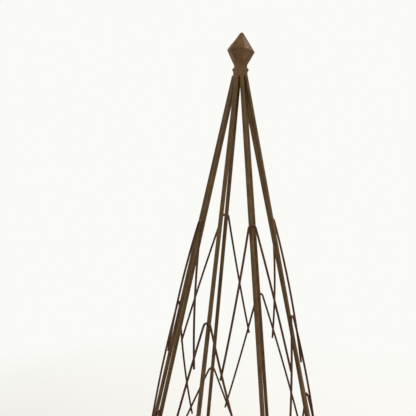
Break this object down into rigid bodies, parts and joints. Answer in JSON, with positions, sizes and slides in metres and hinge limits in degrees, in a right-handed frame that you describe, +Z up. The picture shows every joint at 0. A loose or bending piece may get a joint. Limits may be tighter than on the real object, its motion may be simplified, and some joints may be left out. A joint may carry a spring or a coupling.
{
  "type": "garden obelisk",
  "caption": "Tall open cone of straight rust-brown rods under a faceted cast finial, with rows of bent V wires as a climbing lattice.",
  "frame": {"origin": "on the floor, on the cone's vertical axis", "axes": "+Z up along the cone's axis to the finial's tip; -Y is the front, between two legs"},
  "size_m": [0.6327, 0.6165, 1.47],
  "materials": {
    "cast_finial": "rough casting, rust-brown patina",
    "rod": "satin dark rust-brown over drawn rod",
    "wire": "satin dark red-brown over drawn wire"
  },
  "bodies": {
    "root": {"finial": "cast_finial", "base_ring": "rod", "leg_1": "rod", "leg_2": "rod", "leg_3": "rod", "leg_4": "rod", "leg_5": "rod", "leg_6": "rod", "leg_7": "rod", "leg_8": "rod", "chevron_1a": "wire", "chevron_1b": "wire", "chevron_1c": "wire", "chevron_1d": "wire", "chevron_2a": "wire", "chevron_2b": "wire", "chevron_2c": "wire", "chevron_2d": "wire", "chevron_3a": "wire", "chevron_3b": "wire", "chevron_3c": "wire", "chevron_3d": "wire", "chevron_4a": "wire", "chevron_4b": "wire", "chevron_4c": "wire", "chevron_4d": "wire", "chevron_5a": "wire", "chevron_5b": "wire", "chevron_5c": "wire", "chevron_5d": "wire"}
  },
  "joints": []
}
